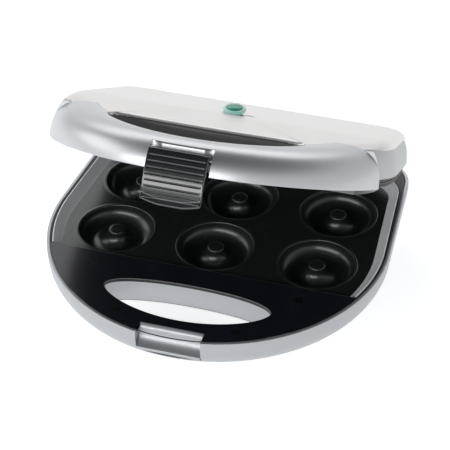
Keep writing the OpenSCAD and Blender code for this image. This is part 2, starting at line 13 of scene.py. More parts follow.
import json
import math

import bmesh
import bpy
import numpy as np
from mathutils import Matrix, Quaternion, Vector


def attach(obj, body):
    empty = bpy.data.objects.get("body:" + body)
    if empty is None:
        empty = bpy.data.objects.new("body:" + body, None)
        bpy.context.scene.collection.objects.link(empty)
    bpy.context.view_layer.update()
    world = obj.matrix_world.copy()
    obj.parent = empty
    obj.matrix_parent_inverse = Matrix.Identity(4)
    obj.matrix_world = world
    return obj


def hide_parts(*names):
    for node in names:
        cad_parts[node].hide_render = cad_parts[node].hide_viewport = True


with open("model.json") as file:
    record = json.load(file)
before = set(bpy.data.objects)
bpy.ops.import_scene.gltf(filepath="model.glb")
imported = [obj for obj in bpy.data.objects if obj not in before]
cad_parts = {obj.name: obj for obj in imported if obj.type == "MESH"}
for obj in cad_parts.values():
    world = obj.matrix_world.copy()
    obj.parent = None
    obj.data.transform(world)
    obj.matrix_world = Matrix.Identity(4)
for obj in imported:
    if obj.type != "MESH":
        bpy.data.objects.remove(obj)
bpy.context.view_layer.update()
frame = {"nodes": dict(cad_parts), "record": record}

# ---------------------------------------------------------------- finishes
# Painted and moulded plastics, cast non-stick plates, rubber, sheet steel and the lamp's clear plastics.
# Each is a principled surface whose tone, roughness and normal follow a fine procedural grain.


def make_grain():
    """Node group: a grain mask from 0 to 1 and a bumped normal, in the piece's own coordinates."""
    g = bpy.data.node_groups.new("fine_grain", "ShaderNodeTree")
    g.interface.new_socket("Scale", in_out="INPUT", socket_type="NodeSocketFloat")
    g.interface.new_socket("Bump", in_out="INPUT", socket_type="NodeSocketFloat")
    g.interface.new_socket("Mask", in_out="OUTPUT", socket_type="NodeSocketFloat")
    g.interface.new_socket("Normal", in_out="OUTPUT", socket_type="NodeSocketVector")
    nodes = g.nodes
    start, end = nodes.new("NodeGroupInput"), nodes.new("NodeGroupOutput")
    where = nodes.new("ShaderNodeTexCoord")
    noise = nodes.new("ShaderNodeTexNoise")
    noise.inputs["Detail"].default_value = 3.0
    noise.inputs["Roughness"].default_value = 0.6
    spread = nodes.new("ShaderNodeMapRange")
    spread.inputs["From Min"].default_value = 0.3
    spread.inputs["From Max"].default_value = 0.7
    bump = nodes.new("ShaderNodeBump")
    bump.inputs["Distance"].default_value = 0.0002
    g.links.new(where.outputs["Object"], noise.inputs["Vector"])
    g.links.new(start.outputs["Scale"], noise.inputs["Scale"])
    g.links.new(noise.outputs["Fac"], spread.inputs["Value"])
    g.links.new(noise.outputs["Fac"], bump.inputs["Height"])
    g.links.new(start.outputs["Bump"], bump.inputs["Strength"])
    g.links.new(spread.outputs["Result"], end.inputs["Mask"])
    g.links.new(bump.outputs["Normal"], end.inputs["Normal"])
    return g


GRAIN = make_grain()


def finish(name, colour, rough, metal=0.0, scale=1500.0, tone=0.05, bump=0.1, **inputs):
    """A principled material with a grained colour and roughness. Other inputs are given by name."""
    m = bpy.data.materials.new(name)
    m.use_nodes = True
    tree = m.node_tree
    tree.nodes.clear()
    out = tree.nodes.new("ShaderNodeOutputMaterial")
    shader = tree.nodes.new("ShaderNodeBsdfPrincipled")
    grain = tree.nodes.new("ShaderNodeGroup")
    grain.node_tree = GRAIN
    grain.inputs["Scale"].default_value = scale
    grain.inputs["Bump"].default_value = bump
    tint = tree.nodes.new("ShaderNodeMix")
    tint.data_type = "RGBA"
    tint.inputs["A"].default_value = (*[c * (1 - tone) for c in colour], 1)
    tint.inputs["B"].default_value = (*[min(c * (1 + tone), 1) for c in colour], 1)
    satin = tree.nodes.new("ShaderNodeMapRange")
    satin.inputs["To Min"].default_value = rough * 0.88
    satin.inputs["To Max"].default_value = min(rough * 1.12, 1)
    tree.links.new(grain.outputs["Mask"], tint.inputs["Factor"])
    tree.links.new(grain.outputs["Mask"], satin.inputs["Value"])
    tree.links.new(tint.outputs["Result"], shader.inputs["Base Color"])
    tree.links.new(satin.outputs["Result"], shader.inputs["Roughness"])
    tree.links.new(grain.outputs["Normal"], shader.inputs["Normal"])
    tree.links.new(shader.outputs["BSDF"], out.inputs["Surface"])
    shader.inputs["Metallic"].default_value = metal
    for key, value in inputs.items():
        shader.inputs[key.replace("_", " ")].default_value = value
    return m


FINISHES = {
    "silver_lid": finish("silver_lid", (0.56, 0.57, 0.59), 0.36, 0.85, 2600.0, 0.07, 0.06),
    "pale_silver": finish("pale_silver", (0.76, 0.75, 0.74), 0.36, 0.7, 2600.0, 0.06, 0.08),
    "silver_base": finish("silver_base", (0.44, 0.46, 0.48), 0.40, 0.7, 2600.0, 0.06, 0.06),
    "silver_skirt": finish("silver_skirt", (0.46, 0.48, 0.48), 0.42, 0.55, 2600.0, 0.05, 0.08),
    "bezel": finish("bezel", (0.88, 0.89, 0.90), 0.34, 0.35, 1800.0, 0.05, 0.05),
    "black_cover": finish("black_cover", (0.007, 0.008, 0.013), 0.22, 0.0, 900.0, 0.25, 0.05),
    # Lighter grey for the rounded edges of the black handle cover: a painted highlight.
    "cover_edge_highlight": finish("cover_edge_highlight", (0.16, 0.17, 0.17), 0.25, 0.3, 900.0, 0.2, 0.05),
    # Dark grey copy of the pale silver for the wall of the lid's finger opening: painted shade.
    "hole_wall": finish("hole_wall", (0.13, 0.13, 0.13), 0.36, 0.75, 2600.0, 0.06, 0.08),
    "black_frame": finish("black_frame", (0.010, 0.011, 0.013), 0.42, 0.0, 1400.0, 0.25, 0.25),
    "non_stick": finish("non_stick", (0.010, 0.014, 0.012), 0.24, 0.0, 2200.0, 0.35, 0.12,
        Specular_IOR_Level=0.6),
    "latch_black": finish("latch_black", (0.005, 0.006, 0.007), 0.16, 0.0, 700.0, 0.3, 0.03, Coat_Weight=0.4,
        Specular_IOR_Level=0.8),
    "steel": finish("steel", (0.52, 0.52, 0.53), 0.28, 1.0, 1200.0, 0.08, 0.1),
    "black_steel": finish("black_steel", (0.035, 0.035, 0.04), 0.36, 0.9, 1200.0, 0.15, 0.1),
    "heater_sheath": finish("heater_sheath", (0.22, 0.19, 0.17), 0.45, 0.9, 700.0, 0.25, 0.2),
    "reflector": finish("reflector", (0.70, 0.71, 0.72), 0.16, 1.0, 500.0, 0.04, 0.06),
    "rubber": finish("rubber", (0.014, 0.014, 0.015), 0.72, 0.0, 1600.0, 0.3, 0.4),
    "ivory_plastic": finish("ivory_plastic", (0.72, 0.70, 0.60), 0.40, 0.0, 1200.0, 0.04, 0.08),
    "lead": finish("lead", (0.50, 0.035, 0.02), 0.45, 0.0, 900.0, 0.1, 0.1),
    "mint": finish("mint", (0.46, 0.86, 0.74), 0.22, 0.0, 900.0, 0.05, 0.04,
        Subsurface_Weight=0.25, Coat_Weight=0.3),
    "green_lens": finish("green_lens", (0.03, 0.34, 0.21), 0.12, 0.0, 900.0, 0.06, 0.03, Coat_Weight=0.3),
    "lamp_glass": finish("lamp_glass", (0.9, 0.62, 0.45), 0.06, 0.0, 900.0, 0.04, 0.02,
        Transmission_Weight=0.6),
}

for part in frame["record"]["subparts"]:
    for place in frame["nodes"][part["node"]].material_slots:
        place.material = FINISHES[part["material_slot"]]

# ---------------------------------------------------------------- base shell
# Lower housing, moulded in silver ABS with a wall of 2.2 mm: an upright rim that curves in to a flat belly.
# The front overhangs as a handle, with a lens-shaped finger opening through it and a notch for the catch.

MM = 0.001
BOW = np.array([0.0, -1.0])
BOW_R = 119.0
CORNER_R, CORNER_X = 26.0, 87.0
BASE_REAR = 114.0
RIM_Z, FOOT_H, UNDER_Z = 42.0, 4.0, 23.5
NOTCH_X, NOTCH_Y, NOTCH_Z = 22.0, -107.5, 25.8
BELLY_Y, BELLY_RUN = -60.5, 26.5
CORNER_STEPS, SIDE_STEPS, NOTCH_STEPS = 24, 300, 48


def lean(rear):
    """Angle by which the straight sides lean in towards the rear, in radians."""
    d = np.array([CORNER_X, rear - CORNER_R]) - BOW
    return math.atan2(d[1], d[0]) - math.acos((BOW_R - CORNER_R) / np.hypot(*d))


def arc(centre, r, start, end, n):
    """n + 1 points of a circle between two angles."""
    t = np.linspace(start, end, n + 1)
    return np.column_stack([centre[0] + r * np.cos(t), centre[1] + r * np.sin(t)])


def corners(inset, rear):
    """The two rear corners of the plan at an inset, from right to left."""
    over = max(inset - CORNER_R + 1, 0)
    r, a = max(CORNER_R - inset, 1), lean(rear)
    x, y = CORNER_X - over, rear - CORNER_R - over
    right = arc((x, y), r, a, math.pi / 2, CORNER_STEPS)
    return np.concatenate([right, right[::-1] * [-1, 1]])


def ring(inset, rear, half):
    """The plan at an inset: rear corners, left part of the bow, its middle in even steps of x, right part."""
    r, a = BOW_R - inset, lean(rear)
    edge = math.asin(half / r)
    left = arc(BOW, r, math.pi - a, 1.5 * math.pi - edge, SIDE_STEPS)
    x = np.linspace(-half, half, NOTCH_STEPS + 1)[1:-1]
    front = np.column_stack([x, BOW[1] - np.sqrt(r * r - x * x)])
    return np.concatenate([corners(inset, rear), left, front, left[::-1] * [-1, 1]])


def finger_hole(half_x, half_y, mid_y, bend, n=360):
    """A lens with rounded tips, bent round the bow: its right tip first, then the rear edge."""
    t = np.linspace(0, 2 * np.pi, n, endpoint=False)
    s = np.sin(t)
    rise = np.sign(s) * np.abs(s) ** 1.16
    return np.column_stack([half_x * np.cos(t), mid_y + bend * np.cos(t) ** 2 + half_y * rise])


def grid(points, closed=False, keep=None):
    """Quads over rows of points. keep says which quads stay."""
    rows, cols = points.shape[:2]
    index = np.arange(rows * cols).reshape(rows, cols)
    if closed:
        index = np.concatenate([index, index[:, :1]], 1)
    quads = np.stack([index[:-1, :-1], index[:-1, 1:], index[1:, 1:], index[1:, :-1]], -1)
    return points.reshape(-1, 3), (quads.reshape(-1, 4) if keep is None else quads[keep])


def at_height(plan, z):
    """Points of a plan lifted to one height, or each to its own."""
    return np.column_stack([plan, np.broadcast_to(z, len(plan))])


def inside(plan, loop):
    """Which points of the plan lie inside a closed loop."""
    hit = np.zeros(len(plan), bool)
    x, y = plan.T
    for (ax, ay), (bx, by) in zip(loop, np.roll(loop, -1, 0)):
        if ay != by:
            hit ^= ((ay > y) != (by > y)) & (x < (bx - ax) * (y - ay) / (by - ay) + ax)
    return hit


def snap(plan, loop):
    """The nearest places on a closed loop."""
    d = np.roll(loop, -1, 0) - loop
    t = np.clip(((plan[:, None] - loop) * d).sum(2) / (d * d).sum(1), 0, 1)
    at = loop + t[..., None] * d
    nearest = ((plan[:, None] - at) ** 2).sum(2).argmin(1)
    return at[np.arange(len(plan)), nearest]


def cut(part, loop, keep_inside=False):
    """Takes away what lies inside (or outside) a loop in plan, and draws the edge left onto the loop."""
    points, quads = part
    gone = inside(points[:, :2], loop) != keep_inside
    quads = quads[~gone[quads].all(1)]
    edge = np.unique(quads[gone[quads]])
    points = points.copy()
    if len(edge):
        points[edge, :2] = snap(points[edge, :2], loop)
    return points, quads


def outward(loop):
    """Unit normals of a closed loop, pointing out of it."""
    d = np.roll(loop, -1, 0) - np.roll(loop, 1, 0)
    n = np.column_stack([d[:, 1], -d[:, 0]]) / np.linalg.norm(d, axis=1)[:, None]
    x, y = loop.T
    area = (x * np.roll(y, -1) - np.roll(x, -1) * y).sum()
    return n * np.sign(area)


def band(loop, section):
    """A strip along a closed loop. section holds [distance out of the loop, height] pairs."""
    n = outward(loop)
    return grid(np.stack([at_height(loop + o * n, z) for o, z in section]), True)


def smooth(path, n):
    """n points along a soft curve through the points of a path, evenly spaced."""
    p = np.array(path, float)
    p = np.concatenate([2 * p[:1] - p[1:2], p, 2 * p[-1:] - p[-2:-1]])
    t = np.linspace(0, 1, 12, endpoint=False)[:, None]
    out = [0.5 * (2 * b + (c - a) * t + (2 * a - 5 * b + 4 * c - d) * t**2 + (3 * b - a - 3 * c + d) * t**3)
        for a, b, c, d in zip(p, p[1:], p[2:], p[3:])]
    out = np.concatenate([*out, p[-2:-1]])
    s = np.concatenate([[0], np.cumsum(np.linalg.norm(np.diff(out, axis=0), axis=1))])
    return np.column_stack([np.interp(np.linspace(0, s[-1], n), s, c) for c in out.T])


def piece(name, parts, slot, body, nodes, place=None, sharp=38):
    """One mesh from several parts. It stands for the CAD nodes and moves with their body."""
    points, quads, start = [], [], 0
    for p, q in parts:
        points.append(p)
        quads.append(q + start)
        start += len(p)
    points, quads = np.concatenate(points), np.concatenate(quads)
    if place:
        points = place(points)
    _, first, same = np.unique(np.round(points, 3), axis=0, return_index=True, return_inverse=True)
    used, quads = np.unique(same.reshape(-1)[quads], return_inverse=True)
    quads = quads.reshape(-1, 4)
    faces = [list(dict.fromkeys(q)) for q in quads.tolist()]
    mesh = bpy.data.meshes.new(name)
    mesh.from_pydata((points[first][used] * MM).tolist(), [], [f for f in faces if len(f) > 2])
    work = bmesh.new()
    work.from_mesh(mesh)
    bmesh.ops.recalc_face_normals(work, faces=work.faces)
    work.to_mesh(mesh)
    work.free()
    mesh.polygons.foreach_set("use_smooth", [True] * len(mesh.polygons))
    mesh.set_sharp_from_angle(angle=math.radians(sharp))
    mesh.materials.append(FINISHES[slot])
    obj = bpy.data.objects.new(name, mesh)
    bpy.context.scene.collection.objects.link(obj)
    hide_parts(*nodes)
    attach(obj, body)
    return obj


base_hole = finger_hole(57.5, 18.0, -81.0, 4.8)


def belly(plan, z):
    """Keeps heights above the space where the fingers reach under the handle."""
    slope = UNDER_Z - (plan[:, 1] - BELLY_Y) * (UNDER_Z - FOOT_H) / BELLY_RUN
    return np.maximum(z, np.clip(slope, FOOT_H, UNDER_Z))


wall_curve = smooth([(0, 39), (0, 36), (0.6, 31), (1.3, 28.6), (2.55, 25.8), (6, 21), (12, 15.5), (20, 9.5),
    (28, 5.2), (33, 4)], 60)
wall_low = wall_curve[wall_curve[:, 1] < NOTCH_Z - 0.3]
wall_high = wall_curve[(wall_curve[:, 1] > NOTCH_Z + 0.3) & (wall_curve[:, 1] < 38.9)]
rim_section = [(2.3, 39), (2.3, 41.7), (2.2, 41.9), (2.0, 42)]
rim_section += [(0.6 - 0.6 * math.sin(t), 41.4 + 0.6 * math.cos(t)) for t in np.linspace(0, math.pi / 2, 6)]
rim_section += [(0, 39)] + [tuple(s) for s in wall_high] + [(2.55, NOTCH_Z)]
shell_rows = [at_height(ring(d, BASE_REAR, NOTCH_X), z) for d, z in rim_section]
shell_rows += [at_height(ring(d, BASE_REAR, NOTCH_X), z) for d, z in wall_low]
last = ring(33, BASE_REAR, NOTCH_X)
shell_rows += [at_height(last * s, FOOT_H) for s in np.linspace(1, 0.55, 30)[1:]]
shell_rows += [at_height(last * s, FOOT_H) for s in (0.4, 0.25, 0.1, 0)]
shell_rows = np.array([at_height(r[:, :2], belly(r[:, :2], r[:, 2])) for r in shell_rows])
columns = shell_rows.shape[1]
notch_from = 2 * (CORNER_STEPS + 1) + SIDE_STEPS
notch_to = notch_from + NOTCH_STEPS
keep = np.ones((len(shell_rows) - 1, columns), bool)
notch_rows = len(rim_section) - 1
keep[:notch_rows, notch_from:notch_to] = False
shell = cut(grid(shell_rows, True, keep), base_hole)

side = shell_rows[: notch_rows + 1, notch_from]
depth = np.linspace(0, 1, 5)[:, None]
walls = []
for s in (1, -1):
    outer = side * [s, 1, 1]
    inner = np.column_stack([outer[:, 0], np.full(len(outer), NOTCH_Y), outer[:, 2]])
    walls.append(grid(outer[None] + depth[:, None] * (inner - outer)[None]))
floor_front = shell_rows[notch_rows, notch_from : notch_to + 1]
floor_back = floor_front * [1, 0, 1] + [0, NOTCH_Y, 0]
walls.append(grid(np.stack([floor_front, floor_back, floor_back * [1, 1, 0] + [0, 0, RIM_Z - 2.5]])))
hole_wall = band(base_hole, [(0, RIM_Z - 2.4), (0, 32), (0, UNDER_Z + 0.6), (0.2, UNDER_Z + 0.15),
    (0.6, UNDER_Z)])
piece("base_shell_skin", [shell, *walls, hole_wall], "silver_base", "base", ["base_shell"])

# ---------------------------------------------------------------- base bezel
# Bright bevelled trim, pressed from thin stainless strip or plated plastic, between rim and plate.
# Its rolled top stands just proud of the rim and its inner face slopes down to the plate.

INNER_REAR = 100.0


def around(inset, rear, y0, side=70):
    """The part of the plan behind the line y0, from right to left."""
    r, a = BOW_R - inset, lean(rear)
    right = arc(BOW, r, math.asin((y0 - BOW[1]) / r), a, side)
    return np.concatenate([right, corners(inset, rear), right[::-1] * [-1, 1]])


bezel_section = smooth([(3.9, 41.2), (3.95, 41.9), (4.2, 42.2), (4.6, 42.25), (5.1, 41.85), (7.2, 39.6),
    (9.3, 37.5), (10.2, 36.9), (10.6, 36.65), (10.9, 36.45)], 34)
bezel_rows = np.stack([at_height(around(d, INNER_REAR, -43.7), z) for d, z in bezel_section])
piece("base_bezel_skin", [grid(bezel_rows)], "bezel", "base", ["base_bezel"])

# ---------------------------------------------------------------- handle cover
# Flat cover over the handle part, moulded in glossy black phenolic, flush with the rim. It has four holes for
# its screws, an opening for the fingers and a straight edge along the plate. The top rounding of that edge
# and of the opening is drawn in a lighter grey, a painted highlight.

COVER_Y, COVER_EDGE, COVER_GAP = -44.0, 0.55, 2.7
SCREW_R, SCREW_PLACES = 3.3, ((71.5, -56.6), (-71.5, -56.6), (40.8, -99.4), (-40.8, -99.4))


def quarter(r, n=6):
    """Steps round a quarter circle: [how far in from the edge, how far down]."""
    t = np.linspace(0, np.pi / 2, n)
    return [(r * (1 - math.sin(a)), r * (1 - math.cos(a))) for a in t]


bow_angle = math.asin((COVER_Y - COVER_EDGE - BOW[1]) / (BOW_R - COVER_GAP))
cover_bow = arc(BOW, BOW_R - COVER_GAP, math.pi - bow_angle, 2 * math.pi + bow_angle, 300)
notch_loop = np.array([(-22.1, -130), (22.1, -130), (22.1, -107.4), (-22.1, -107.4)])
xs, ys = np.linspace(-118, 118, 296), np.linspace(-119, COVER_Y, 94)
flat = grid(np.dstack([*np.meshgrid(xs, ys), np.full((len(ys), len(xs)), RIM_Z)]))
flat = cut(flat, cover_bow, True)
flat = cut(flat, base_hole + COVER_EDGE * outward(base_hole))
flat = cut(flat, notch_loop)
cover_parts = []
for x, y in SCREW_PLACES:
    bore = arc((x, y), SCREW_R, 0, 2 * math.pi, 36)[:-1]
    flat = cut(flat, bore)
    cover_parts.append(band(bore, [(0, RIM_Z), (-0.1, RIM_Z - 0.3), (-0.1, RIM_Z - 1.8)]))
cover_parts.append(flat)
rounding = [(i, RIM_Z - down) for i, down in quarter(COVER_EDGE)]
cover_parts.append(band(base_hole, rounding + [(0, RIM_Z - 2.5)]))
cover_parts.append(band(cover_bow, [(COVER_EDGE - i, z) for i, z in rounding]))
lip_x = np.linspace(-107, 107, 60)
lip = [(COVER_Y - i, z) for i, z in rounding] + [(COVER_Y, 36.8)]
cover_parts.append(grid(np.stack([np.column_stack([lip_x, np.full((60, 2), p)]) for p in lip])))
cover = piece("handle_cover_skin", cover_parts, "black_cover", "base", ["handle_cover"])
# The top rounding of the straight edge and of the opening's rim takes a lighter, glossier grey: a painted
# highlight.
cover.data.materials.append(FINISHES["cover_edge_highlight"])
for face in cover.data.polygons:
    x, y, z = face.center / MM
    hole_rim_highlight = abs(x) < 75 and -100 < y < -50 and 0.2 < face.normal.z < 0.97
    if z > RIM_Z - 0.9 and (y > COVER_Y - COVER_EDGE + 0.02 or hole_rim_highlight):
        face.material_index = 1

# ---------------------------------------------------------------- latch catch
# Silver catch, moulded in ABS, set in the notch at the front. Its face is hollowed for the latch's lip,
# and the ledge under it is what the latch hooks.

curl = arc((-119.5, 39.6), 9.2, 0, -math.radians(86), 24)
catch_section = np.concatenate([[(-107.4, 41.9), (-107.9, 41.85), (-109.9, 40.2)], curl[1:-1],
    [(-118.75, 30.5), (-118.9, 30.2), (-118.9, 28.6), (-118.75, 28.3), (-118.4, 28.2), (-107.4, 28.2)]])
catch_x = np.array([-21.8, -21.7, -21.4, *np.linspace(-21, 21, 12), 21.4, 21.7, 21.8])
soften = np.array([0.4, 0.12, 0.02, *[0] * 12, 0.02, 0.12, 0.4])
middle = np.array([-110.0, 31.0])
catch_rows = []
for x, s in zip(catch_x, soften):
    d = middle - catch_section
    p = catch_section + s * d / np.linalg.norm(d, axis=1)[:, None]
    catch_rows.append(np.column_stack([np.full(len(p), x), p]))
catch_rows = np.array(catch_rows)
hubs = [np.broadcast_to([catch_x[k], *middle], catch_rows[k].shape) for k in (0, -1)]
ends = [grid(np.stack([catch_rows[k], hub])) for k, hub in zip((0, -1), hubs)]
piece("latch_catch_skin", [grid(catch_rows, True), *ends], "silver_base", "base", ["latch_catch"])

# ---------------------------------------------------------------- lower baking plate
# Cast aluminium plate with a black non-stick coat: six ring-shaped cavities, each with a post in the middle
# and a fine raised bead round its edge.

PLATE_Z = 36.5
CUPS = [(x, y) for y in (-10.0, 49.3) for x in (-72.0, 0.0, 72.0)]
TUBE_R, TUBE_C, CUP_R = 10.1, 15.9, 29.5


def cavity_profile():
    """Radius and height of a cavity, from the post's middle out to the flat of the plate."""
    t = np.linspace(math.radians(172), math.radians(8), 40)
    trough = [(TUBE_C + TUBE_R * math.cos(a), -TUBE_R * math.sin(a)) for a in t]
    post = [(0, -0.1), (3.0, -0.1), (4.6, -0.16), (5.3, -0.4), (5.7, -0.9)]
    bead = [(26.05, -0.8), (26.15, -0.3), (26.35, 0.1), (26.6, 0.38), (27.0, 0.5), (27.4, 0.38),
        (27.65, 0.12), (28.0, 0.0), (CUP_R, 0)]
    return np.array(post + trough + bead)


def lathe(profile, centre, z):
    """[radius, height] points turned about an upright line."""
    t = np.linspace(0, 2 * np.pi, 120, endpoint=False)
    r, h = profile[:, :1], profile[:, 1:]
    x, y = centre[0] + r * np.cos(t), centre[1] + r * np.sin(t)
    return grid(np.stack([x, y, np.repeat(h + z, len(t), 1)], -1), True)


plate_edge = around(8.1, INNER_REAR, -43.5)
xs, ys = np.linspace(-112, 112, 226), np.linspace(-43.8, 93, 138)
face = grid(np.dstack([*np.meshgrid(xs, ys), np.full((len(ys), len(xs)), PLATE_Z)]))
face = cut(face, plate_edge, True)
plate_parts = []
for cup in CUPS:
    face = cut(face, arc(cup, CUP_R, 0, 2 * math.pi, 120)[:-1])
    plate_parts.append(lathe(cavity_profile(), cup, PLATE_Z))
piece("lower_baking_plate_skin", [face, *plate_parts], "non_stick", "base", ["lower_baking_plate"])

# ---------------------------------------------------------------- lid front shell
# Front of the lid, moulded in ABS and sprayed silver: the handle bar, its finger opening and the two
# shoulders that rise to the flat top. A recess in the middle of its face holds the latch.

LID_Z = 42.4
HINGE_Y, HINGE_Z, LID_OPEN = 109.0, 46.4, math.radians(29.5)
BAR_H, LID_H = 20.8, 29.0
BAR_Y, CROWN_Y, CROWN_BLEND = -100.0, -2.0, 8.0
BAR_W, SHOULDER_W, REAR_W = 20.6, 29.0, 16.0
ROUND = 0.77
FRONT_END_Y = -37.0
SKIN_END_Y, END_ROUND, WALL = FRONT_END_Y + 0.4, 0.4, 2.2
UNDERSIDE = 2.4
LID_HOLE_HALF, LID_HOLE_POINTS = 67.0, 480
POCKET_X, POCKET_Y, POCKET_TOP = 20.8, -110.5, 16.8
SEAM = 29.2
SIDE_COLUMNS, MIDDLE_COLUMNS, SKIN_STEPS = 240, 61, 34


def turn(points, y, z, angle):
    """Points turned about a line along X."""
    c, s = math.cos(angle), math.sin(angle)
    dy, dz = points[:, 1] - y, points[:, 2] - z
    return np.column_stack([points[:, 0], y + dy * c - dz * s, z + dy * s + dz * c])


def open_lid(points):
    """Points of the shut lid, turned to where they are at rest."""
    return turn(points, HINGE_Y, HINGE_Z, -LID_OPEN)


def ease(t):
    """Soft step from 0 to 1: 3t^2 - 2t^3."""
    t = np.clip(t, 0, 1)
    return t * t * (3 - 2 * t)


def crown(y):
    """Height of the lid's top over its rim: level at the rear, falling towards the handle bar."""
    t = CROWN_Y - y
    fall = np.where(t < CROWN_BLEND, np.maximum(t + CROWN_BLEND, 0) ** 2 / (4 * CROWN_BLEND), t)
    return LID_H - fall * (LID_H - BAR_H) / (CROWN_Y - BAR_Y)


def top_w(a):
    """Width of the rounded edge. a is in degrees from the middle of the front."""
    widen = (SHOULDER_W - BAR_W) * np.minimum(a / 50, 1) ** 1.3
    return BAR_W + widen - (SHOULDER_W - REAR_W) * ease((a - 66) / 16)


def share(d, a):
    """Height of the skin at the inset d, as a share of the top's height there."""
    c = np.clip(1 - d / top_w(a), 0, 1) ** (1 / ROUND)
    return (1 - c * c) ** (ROUND / 2)


def roll(e, r):
    """How far an edge rounded with radius r lies below the skin at the distance e from the edge."""
    return r - np.sqrt(np.maximum(r * r - np.maximum(r - e, 0) ** 2, 0))


lid_hole = finger_hole(LID_HOLE_HALF, 21.5, -78.5, 17.5, n=LID_HOLE_POINTS)
front_edge = lid_hole[LID_HOLE_POINTS // 2 :]
hole_angle = np.degrees(np.arctan2(np.abs(front_edge[:, 0]), BOW[1] - front_edge[:, 1]))
hole_inset = BOW_R - np.hypot(*(front_edge - BOW).T)
order = np.argsort(hole_angle)
TIP_ANGLE = hole_angle.max()


def inner_inset(a):
    """Where the front shell ends: at the finger opening, and beyond its tips at the top cover's seam."""
    return np.where(a < TIP_ANGLE, np.interp(a, hole_angle[order], hole_inset[order]), SEAM)


def column_angle(column, d):
    """Angle from the front's middle. Columns up to 1 keep their x, column 2 keeps y at the shell's end."""
    r = BOW_R - d
    edge = np.degrees(np.arcsin(POCKET_X / r))
    end = np.degrees(np.arccos((BOW[1] - SKIN_END_Y) / r))
    near = np.degrees(np.arcsin(np.clip(np.abs(column), 0, 1) * POCKET_X / r))
    return np.where(np.abs(column) <= 1, near, edge + (np.abs(column) - 1) * (end - edge))


columns = np.concatenate([np.linspace(-2, -1, SIDE_COLUMNS), np.linspace(-1, 1, MIDDLE_COLUMNS)[1:-1],
    np.linspace(1, 2, SIDE_COLUMNS)])
inner_angle = column_angle(columns, 25.0)
for _ in range(30):
    inner_angle = 0.5 * inner_angle + 0.5 * column_angle(columns, inner_inset(inner_angle))
inner = inner_inset(inner_angle)
edge_r = 1.5 - 1.15 * ease((inner_angle - 45) / 3)

lid_rows = []


def add_row(d, part, down=0.0):
    """One row of the shell, part of the way up to the top and then down a little."""
    a = column_angle(columns, d)
    r = BOW_R - d
    t = np.radians(a) * np.sign(columns)
    y = BOW[1] - r * np.cos(t)
    lid_rows.append(np.column_stack([r * np.sin(t), y, LID_Z + crown(y) * part - down]))


for d, t in ((WALL, 3.0), (WALL, 0.3), (2.1, 0.08), (1.9, 0), (0.35, 0), (0.12, 0.06), (0.02, 0.2)):
    add_row(np.full(len(columns), d), t / BAR_H)
skin_from = len(lid_rows)
pocket_u = math.degrees(math.asin((POCKET_TOP / (BAR_H - 1.2)) ** (1 / ROUND))) / 90
for u in np.linspace(0.003, pocket_u, SKIN_STEPS):
    a = column_angle(columns, 3.0)
    for _ in range(6):
        d = top_w(a) * (1 - math.cos(math.radians(90 * u)) ** ROUND)
        a = column_angle(columns, d)
    add_row(d, math.sin(math.radians(90 * u)) ** ROUND)
pocket_row = len(lid_rows) - 1
pocket_d = d
for s in np.linspace(0, 1, SKIN_STEPS)[1:]:
    d = pocket_d + s * (inner - edge_r - pocket_d)
    add_row(d, share(d, column_angle(columns, d)))
skin_to = len(lid_rows)
for e, down in quarter(1.0, 9)[1:]:
    d = inner - e * edge_r
    add_row(d, share(d, column_angle(columns, d)), down * edge_r)
last_row = lid_rows[-1]
fall = np.where(inner_angle < TIP_ANGLE, last_row[:, 2] - LID_Z - UNDERSIDE, 1.5)
for s in (0.05, 0.3, 0.65, 1):
    lid_rows.append(last_row - np.column_stack([np.zeros((len(fall), 2)), s * fall]))
lid_rows = np.array(lid_rows)

caps = []
tangent = np.gradient(lid_rows, axis=0)
steps = [(END_ROUND * (1 - math.cos(b)), END_ROUND * math.sin(b)) for b in np.linspace(0, math.pi / 2, 6)]
steps.append((WALL, END_ROUND))
for k, sign in ((0, -1), (-1, 1)):
    p, t = lid_rows[:, k], tangent[:, k]
    run = np.hypot(t[:, 0], t[:, 1]) * -np.sign(t[:, 0] * sign)
    n = np.column_stack([t[:, 2], -run]) / np.maximum(np.hypot(run, t[:, 2]), 1e-6)[:, None]
    moves = [np.column_stack([-sign * n[:, 0] * i, np.full(len(p), f), n[:, 1] * i]) for i, f in steps]
    end = np.stack([p + move for move in moves])
    caps.append(grid(end[:, skin_from:skin_to]))

in_pocket = (np.abs(columns[:-1] + columns[1:]) / 2) < 1
keep = np.ones((len(lid_rows) - 1, len(columns) - 1), bool)
keep[:pocket_row, in_pocket] = False
left_edge = SIDE_COLUMNS - 1
right_edge = left_edge + MIDDLE_COLUMNS - 1
recess = []
for k in (left_edge, right_edge):
    outer = lid_rows[: pocket_row + 1, k]
    back = outer * [1, 0, 1] + [0, POCKET_Y, 0]
    recess.append(grid(outer[None] + np.linspace(0, 1, 5)[:, None, None] * (back - outer)[None]))
top_edge = lid_rows[pocket_row, left_edge : right_edge + 1]
back_rows = [top_edge, top_edge + [0, 0.3, -0.25]]
for t in (POCKET_TOP - 1.2, 12, 7, UNDERSIDE):
    back_rows.append(top_edge * [1, 0, 0] + [0, POCKET_Y, LID_Z + t])
recess.append(grid(np.stack(back_rows)))
piece("lid_front_shell_skin", [grid(lid_rows, keep=keep), *caps, *recess], "silver_lid", "lid",
    ["lid_front_shell"], open_lid)
